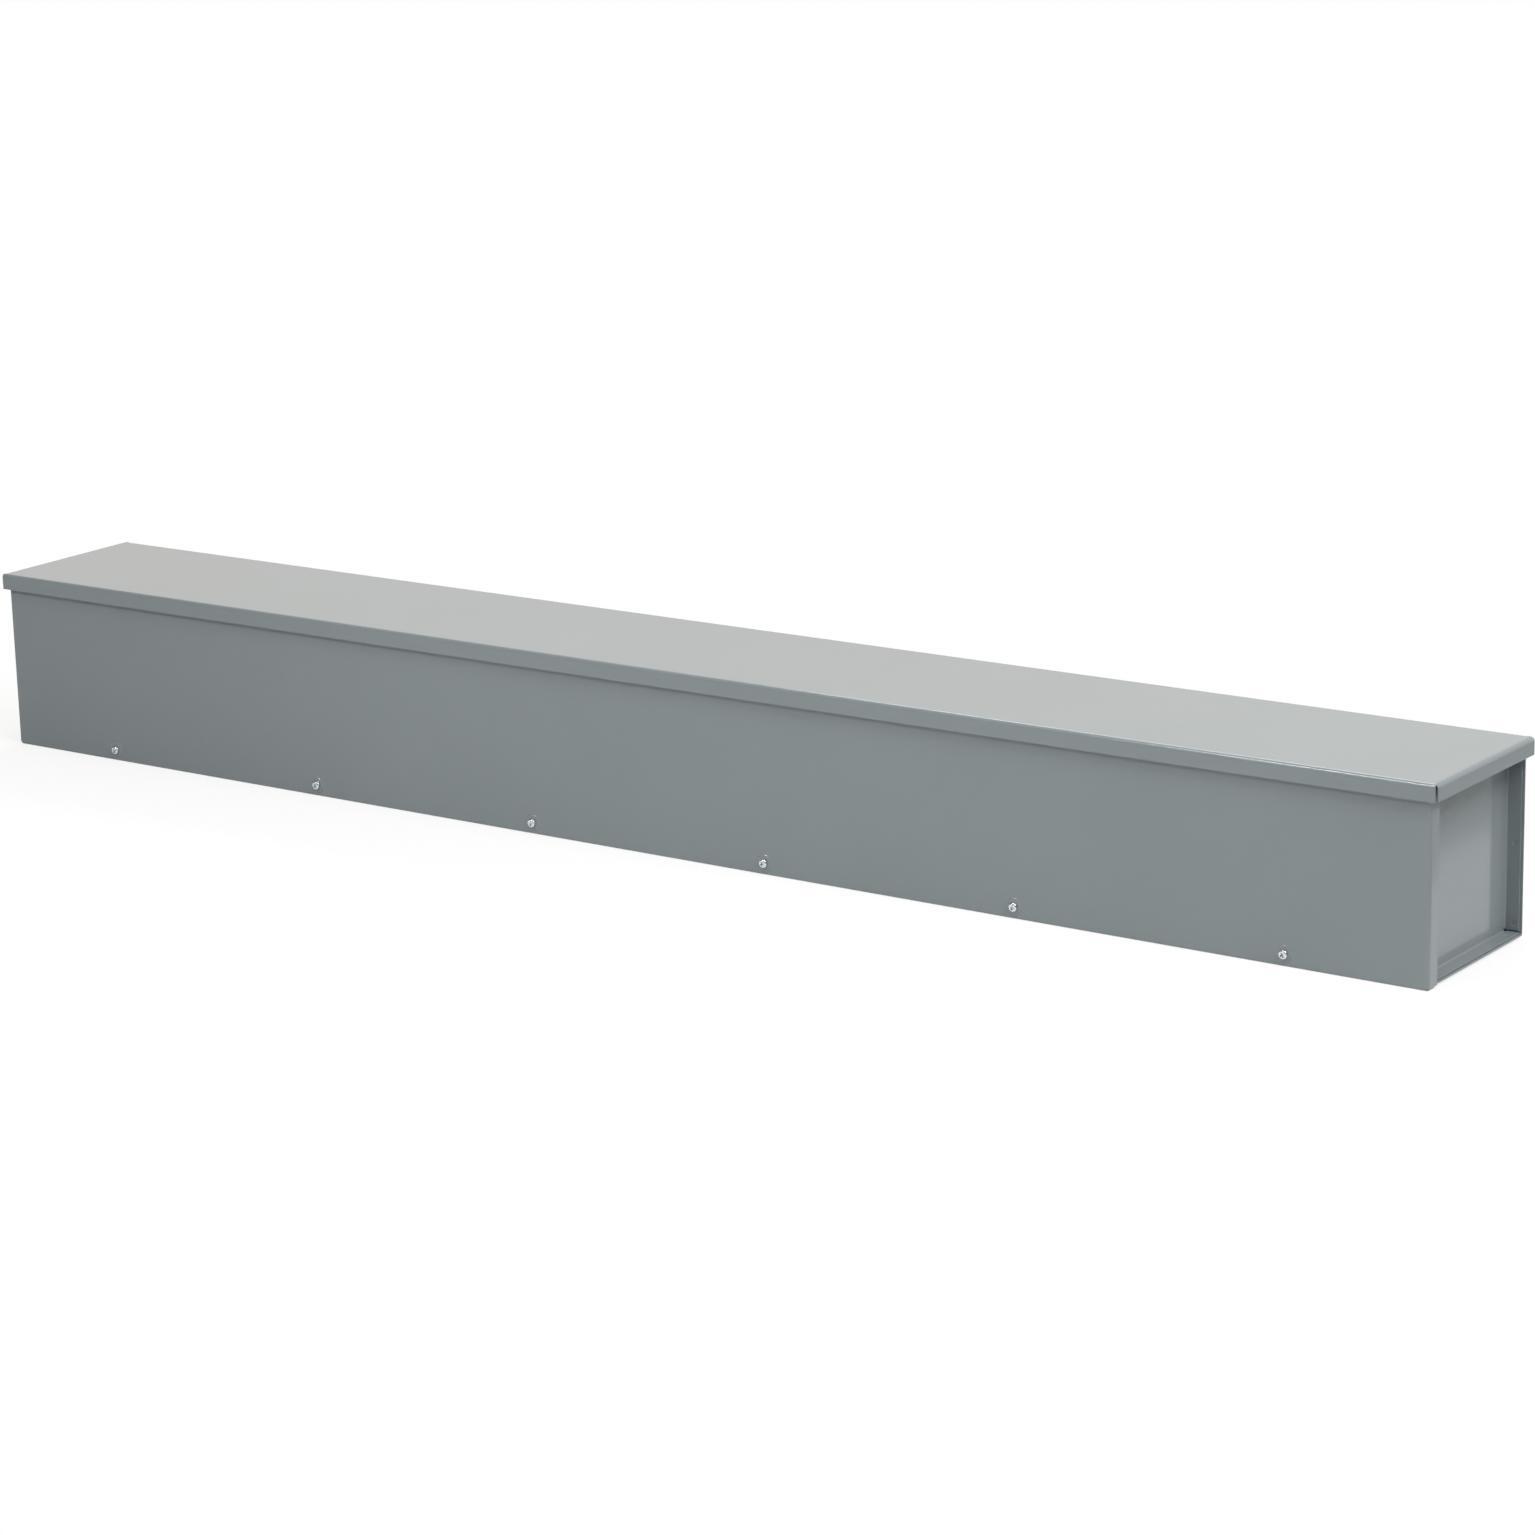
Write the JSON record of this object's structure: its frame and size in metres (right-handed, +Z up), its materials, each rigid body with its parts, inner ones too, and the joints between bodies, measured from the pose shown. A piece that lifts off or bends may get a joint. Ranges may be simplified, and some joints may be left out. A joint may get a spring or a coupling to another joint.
{
  "type": "wireway trough",
  "caption": "Long square sheet-steel wiring trough with a folded drip hood, recessed end plates and a slip-on front cover held by screws along its bottom edge.",
  "frame": {"origin": "on the floor, under the middle of the trough's overall box", "axes": "+X along the trough, -Y towards the cover, +Z up"},
  "size_m": [1.8464, 0.2052, 0.2032],
  "materials": {
    "grey_paint": "smooth glossy grey polyester paint on sheet steel",
    "zinc_plate": "bright zinc plate"
  },
  "bodies": {
    "root": {"trough_body": "grey_paint", "end_plate_left": "grey_paint", "end_plate_right": "grey_paint", "front_cover": "grey_paint", "cover_screw_1": "zinc_plate", "cover_screw_2": "zinc_plate", "cover_screw_3": "zinc_plate", "cover_screw_4": "zinc_plate", "cover_screw_5": "zinc_plate", "cover_screw_6": "zinc_plate"}
  },
  "joints": []
}
